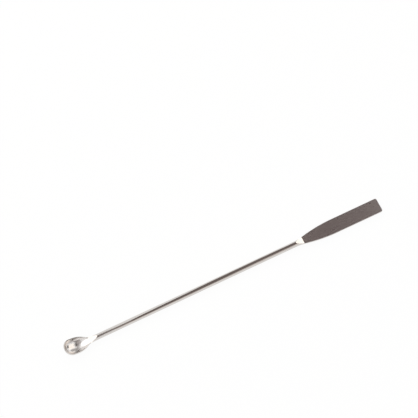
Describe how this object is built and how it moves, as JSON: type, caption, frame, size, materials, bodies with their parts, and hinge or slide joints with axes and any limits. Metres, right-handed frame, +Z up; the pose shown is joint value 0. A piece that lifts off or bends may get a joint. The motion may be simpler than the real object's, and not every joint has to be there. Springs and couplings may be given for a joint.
{
  "type": "laboratory spatula",
  "caption": "Thin round steel rod with a small teardrop spoon pressed into one end and a flat, square-tipped blade at the other, for scooping and scraping powders.",
  "frame": {"origin": "on the surface that the spatula lies on, under the middle of its length and width", "axes": "+X along the rod from the spoon tip to the blade tip, +Z up, out of the spoon's hollow and square to the blade's faces, +Y across"},
  "size_m": [0.18, 0.009, 0.0053],
  "materials": {
    "stainless_steel": "polished stainless steel; the faces of the blade are ground to a fine satin"
  },
  "bodies": {
    "root": {"spatula": "stainless_steel"}
  },
  "joints": []
}
